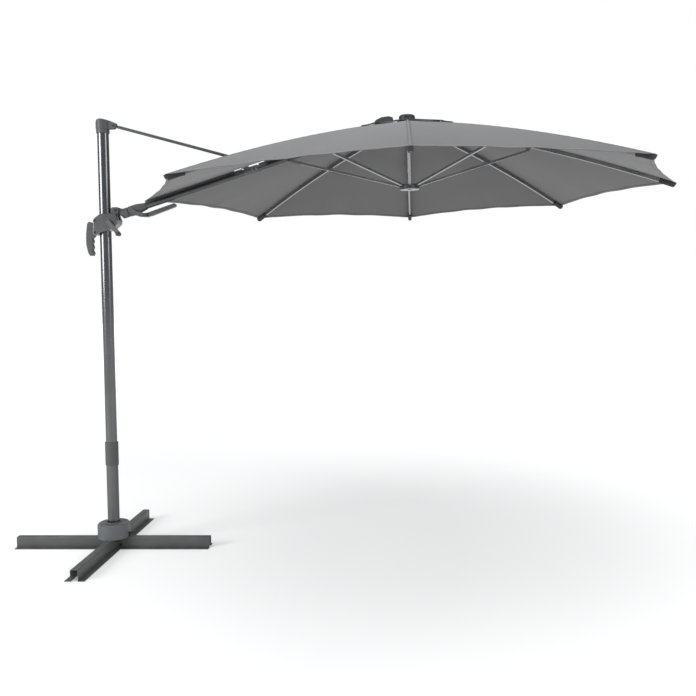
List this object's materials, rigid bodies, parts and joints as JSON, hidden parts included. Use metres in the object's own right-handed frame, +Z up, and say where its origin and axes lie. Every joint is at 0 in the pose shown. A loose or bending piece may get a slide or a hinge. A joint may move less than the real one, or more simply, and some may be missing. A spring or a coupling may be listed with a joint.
{
  "type": "cantilever parasol",
  "caption": "Cantilever parasol: cross base, swivelling mast with sliding carriage and crank, stayed boom and folding octagonal canopy with a vent cap.",
  "frame": {"origin": "on the mast's axis at ground level, at the centre of the side bar's four anchor holes", "axes": "+Z up, +X from the mast along the boom to the canopy, +Y away from the crank"},
  "size_m": [3.7395, 2.9646, 2.4442],
  "materials": {
    "base_steel": "satin powder coat",
    "zinc_steel": "zinc plated",
    "housing_plastic": "fine moulded texture",
    "black_plastic": "moulded",
    "mast_paint": "anthracite metallic, satin",
    "boom_paint": "anthracite metallic, satin",
    "bracket_paint": "satin",
    "nylon": "natural",
    "carriage_plastic": "glass-filled, fine texture",
    "cord_fibre": "braided polyester",
    "canopy_fabric": "woven polyester, grey",
    "strut_paint": "satin",
    "rib_paint": "satin"
  },
  "bodies": {
    "base": {"side_bar": "base_steel", "front_bar": "base_steel", "base_spindle": "zinc_steel", "base_bolts": "zinc_steel", "base_housing": "housing_plastic"},
    "pedal": {"swivel_pedal": "black_plastic"},
    "mast": {"lower_mast": "mast_paint", "upper_mast": "mast_paint", "coupling_tube": "zinc_steel", "mast_sleeve": "housing_plastic", "turn_bush": "nylon", "top_cap": "housing_plastic", "cap_pin": "zinc_steel"},
    "stay": {"stay_tube": "boom_paint", "stay_yoke": "bracket_paint"},
    "boom_carrier": {"boom_knuckle": "carriage_plastic", "stay_collar": "bracket_paint", "collar_screws": "zinc_steel"},
    "carriage": {"carriage_shell_near": "carriage_plastic", "carriage_shell_far": "carriage_plastic", "carriage_bolts": "zinc_steel", "carriage_liner": "nylon", "boom_pivot_pin": "zinc_steel", "carriage_grip": "carriage_plastic"},
    "trigger": {"lock_trigger": "black_plastic"},
    "crank": {"crank_arm": "bracket_paint", "winch_drum": "zinc_steel"},
    "knob": {"crank_knob": "black_plastic"},
    "boom": {"boom_tube": "boom_paint", "boom_fork": "boom_paint", "tilt_grip": "carriage_plastic", "canopy_gore_left": "canopy_fabric"},
    "lever": {"tilt_lever": "carriage_plastic"},
    "hub": {"top_hub": "black_plastic", "finial": "black_plastic", "pull_cord": "cord_fibre"},
    "strut_left": {"strut_left": "strut_paint"},
    "runner": {"runner": "black_plastic"},
    "cord_end": {"cord_ferrule": "black_plastic"},
    "rib_right": {"rib_right": "rib_paint", "canopy_gore_right": "canopy_fabric"},
    "strut_right": {"strut_right": "strut_paint"},
    "rib_far_right": {"rib_far_right": "rib_paint", "canopy_gore_far_right": "canopy_fabric"},
    "strut_far_right": {"strut_far_right": "strut_paint"},
    "rib_far": {"rib_far": "rib_paint", "canopy_gore_far": "canopy_fabric"},
    "strut_far": {"strut_far": "strut_paint"},
    "rib_far_left": {"rib_far_left": "rib_paint", "canopy_gore_far_left": "canopy_fabric"},
    "strut_far_left": {"strut_far_left": "strut_paint"},
    "rib_near_left": {"rib_near_left": "rib_paint", "canopy_gore_near_left": "canopy_fabric"},
    "strut_near_left": {"strut_near_left": "strut_paint"},
    "rib_near": {"rib_near": "rib_paint", "canopy_gore_near": "canopy_fabric"},
    "strut_near": {"strut_near": "strut_paint"},
    "rib_near_right": {"rib_near_right": "rib_paint", "canopy_gore_near_right": "canopy_fabric"},
    "strut_near_right": {"strut_near_right": "strut_paint"}
  },
  "joints": [
    {"name": "mast_turn", "type": "hinge", "parent": "base", "child": "mast", "pos_m": [0, 0, 0.15], "axis": [0, 0, 1], "continuous": true},
    {"name": "pedal_press", "type": "hinge", "parent": "base", "child": "pedal", "pos_m": [0.085, 0, 0.074], "axis": [0, 1, 0], "range_deg": [0, 9], "stiffness_Nm_per_rad": 1.2, "springref_deg": -17.19},
    {"name": "stay_swing", "type": "hinge", "parent": "mast", "child": "stay", "pos_m": [0.064, 0, 2.384], "axis": [0, 1, 0], "range_deg": [0, 52.64]},
    {"name": "boom_pitch", "type": "hinge", "parent": "stay", "child": "boom_carrier", "pos_m": [0.806, 0, 2.152], "axis": [0, -1, 0], "range_deg": [0, 105.27]},
    {"name": "carriage_level", "type": "hinge", "parent": "boom_carrier", "child": "carriage", "pos_m": [0.064, 0, 1.92], "axis": [0, 1, 0], "range_deg": [0, 52.64]},
    {"name": "trigger_pull", "type": "hinge", "parent": "carriage", "child": "trigger", "pos_m": [-0.046, 0, 1.84], "axis": [0, 1, 0], "range_deg": [0, 6], "stiffness_Nm_per_rad": 0.6, "springref_deg": -20.05},
    {"name": "crank_turn", "type": "hinge", "parent": "carriage", "child": "crank", "pos_m": [0.034, -0.04, 1.853], "axis": [0, 1, 0], "range_deg": [0, 3584.82]},
    {"name": "knob_spin", "type": "hinge", "parent": "crank", "child": "knob", "pos_m": [0.092, -0.067, 1.785], "axis": [0, 1, 0], "continuous": true},
    {"name": "boom_roll", "type": "hinge", "parent": "boom_carrier", "child": "boom", "pos_m": [0.07314, 0, 1.8922], "axis": [0.95, 0, 0.3123], "range_deg": [-20, 20]},
    {"name": "lever_squeeze", "type": "hinge", "parent": "boom", "child": "lever", "pos_m": [0.15075, 0, 1.92508], "axis": [0, -1, 0], "range_deg": [0, 4], "stiffness_Nm_per_rad": 8, "springref_deg": -8.59},
    {"name": "hub_swing", "type": "hinge", "parent": "boom", "child": "hub", "pos_m": [1.645, 0, 2.388], "axis": [0, 1, 0], "range_deg": [0, 69.3], "deforming": ["pull_cord", "canopy_gore_left"]},
    {"name": "strut_turn_left", "type": "hinge", "parent": "boom", "child": "strut_left", "pos_m": [1.03479, 0, 2.19502], "axis": [0, 1, 0], "range_deg": [0, 138.6]},
    {"name": "runner_level", "type": "hinge", "parent": "strut_left", "child": "runner", "pos_m": [1.65876, 0, 2.05268], "axis": [0, -1, 0], "range_deg": [0, 69.3]},
    {"name": "cord_pull", "type": "slide", "parent": "hub", "child": "cord_end", "axis": [0.041, 0, -0.9992], "range_m": [0, 0.93851]},
    {"name": "rib_fold_right", "type": "hinge", "parent": "hub", "child": "rib_right", "pos_m": [1.73492, 0, 2.39169], "axis": [0, 1, 0], "range_deg": [0, 69.3], "deforming": ["canopy_gore_right"]},
    {"name": "strut_turn_right", "type": "hinge", "parent": "rib_right", "child": "strut_right", "pos_m": [2.3589, 0, 2.24935], "axis": [0, -1, 0], "range_deg": [0, 138.6]},
    {"name": "rib_fold_far_right", "type": "hinge", "parent": "hub", "child": "rib_far_right", "pos_m": [1.72176, 0.03182, 2.39115], "axis": [-0.7065, 0.7071, -0.029], "range_deg": [0, 69.3], "deforming": ["canopy_gore_far_right"]},
    {"name": "strut_turn_far_right", "type": "hinge", "parent": "rib_far_right", "child": "strut_far_right", "pos_m": [2.16499, 0.46854, 2.2414], "axis": [0.7065, -0.7071, 0.029], "range_deg": [0, 138.6]},
    {"name": "rib_fold_far", "type": "hinge", "parent": "hub", "child": "rib_far", "pos_m": [1.68996, 0.045, 2.38985], "axis": [-0.9992, 0, -0.041], "range_deg": [0, 69.3], "deforming": ["canopy_gore_far"]},
    {"name": "strut_turn_far", "type": "hinge", "parent": "rib_far", "child": "strut_far", "pos_m": [1.69684, 0.66261, 2.22219], "axis": [0.9992, 0, 0.041], "range_deg": [0, 138.6]},
    {"name": "rib_fold_far_left", "type": "hinge", "parent": "hub", "child": "rib_far_left", "pos_m": [1.65817, 0.03182, 2.38854], "axis": [-0.7065, -0.7071, -0.029], "range_deg": [0, 69.3], "deforming": ["canopy_gore_far_left"]},
    {"name": "strut_turn_far_left", "type": "hinge", "parent": "rib_far_left", "child": "strut_far_left", "pos_m": [1.2287, 0.46854, 2.20297], "axis": [0.7065, 0.7071, 0.029], "range_deg": [0, 138.6]},
    {"name": "rib_fold_near_left", "type": "hinge", "parent": "hub", "child": "rib_near_left", "pos_m": [1.65817, -0.03182, 2.38854], "axis": [0.7065, -0.7071, 0.029], "range_deg": [0, 69.3], "deforming": ["canopy_gore_near_left"]},
    {"name": "strut_turn_near_left", "type": "hinge", "parent": "rib_near_left", "child": "strut_near_left", "pos_m": [1.2287, -0.46854, 2.20297], "axis": [-0.7065, 0.7071, -0.029], "range_deg": [0, 138.6]},
    {"name": "rib_fold_near", "type": "hinge", "parent": "hub", "child": "rib_near", "pos_m": [1.68996, -0.045, 2.38985], "axis": [0.9992, 0, 0.041], "range_deg": [0, 69.3], "deforming": ["canopy_gore_near"]},
    {"name": "strut_turn_near", "type": "hinge", "parent": "rib_near", "child": "strut_near", "pos_m": [1.69684, -0.66261, 2.22219], "axis": [-0.9992, 0, -0.041], "range_deg": [0, 138.6]},
    {"name": "rib_fold_near_right", "type": "hinge", "parent": "hub", "child": "rib_near_right", "pos_m": [1.72176, -0.03182, 2.39115], "axis": [0.7065, 0.7071, 0.029], "range_deg": [0, 69.3], "deforming": ["canopy_gore_near_right"]},
    {"name": "strut_turn_near_right", "type": "hinge", "parent": "rib_near_right", "child": "strut_near_right", "pos_m": [2.16499, -0.46854, 2.2414], "axis": [-0.7065, -0.7071, -0.029], "range_deg": [0, 138.6]}
  ],
  "couplings": [
    {"joint": "boom_pitch", "follows": "stay_swing", "ratio": 2},
    {"joint": "carriage_level", "follows": "stay_swing", "ratio": 1},
    {"joint": "strut_turn_left", "follows": "hub_swing", "ratio": 2},
    {"joint": "runner_level", "follows": "hub_swing", "ratio": 1},
    {"joint": "cord_pull", "follows": "hub_swing", "m_per_rad": 0.77594},
    {"joint": "crank_turn", "follows": "hub_swing", "ratio": 51.729},
    {"joint": "rib_fold_right", "follows": "hub_swing", "ratio": 1},
    {"joint": "strut_turn_right", "follows": "hub_swing", "ratio": 2},
    {"joint": "rib_fold_far_right", "follows": "hub_swing", "ratio": 1},
    {"joint": "strut_turn_far_right", "follows": "hub_swing", "ratio": 2},
    {"joint": "rib_fold_far", "follows": "hub_swing", "ratio": 1},
    {"joint": "strut_turn_far", "follows": "hub_swing", "ratio": 2},
    {"joint": "rib_fold_far_left", "follows": "hub_swing", "ratio": 1},
    {"joint": "strut_turn_far_left", "follows": "hub_swing", "ratio": 2},
    {"joint": "rib_fold_near_left", "follows": "hub_swing", "ratio": 1},
    {"joint": "strut_turn_near_left", "follows": "hub_swing", "ratio": 2},
    {"joint": "rib_fold_near", "follows": "hub_swing", "ratio": 1},
    {"joint": "strut_turn_near", "follows": "hub_swing", "ratio": 2},
    {"joint": "rib_fold_near_right", "follows": "hub_swing", "ratio": 1},
    {"joint": "strut_turn_near_right", "follows": "hub_swing", "ratio": 2}
  ]
}
